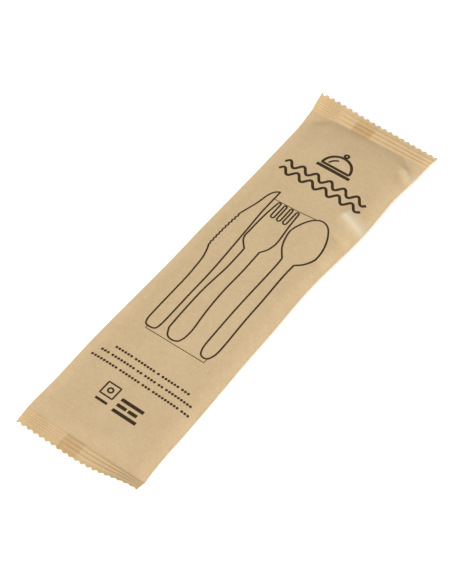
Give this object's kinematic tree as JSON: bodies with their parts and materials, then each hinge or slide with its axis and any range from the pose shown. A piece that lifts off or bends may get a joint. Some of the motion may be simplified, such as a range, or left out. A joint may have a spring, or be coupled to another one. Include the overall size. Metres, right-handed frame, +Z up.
{
  "type": "wooden cutlery pack",
  "caption": "Sealed flat brown-paper pack of disposable wooden cutlery and a napkin, with ribbed zigzag-cut end seals and a fin seal down its back.",
  "frame": {"origin": "under the middle of the pack, on the surface that it lies on", "axes": "+X across the pack to the right of its print, +Y along it towards the top of its print, +Z up from its back seam"},
  "size_m": [0.073, 0.2588, 0.009],
  "materials": {
    "kraft_paper": "uncoated brown paper with dark brown print"
  },
  "bodies": {
    "root": {"cutlery_pack": "kraft_paper"}
  },
  "joints": []
}
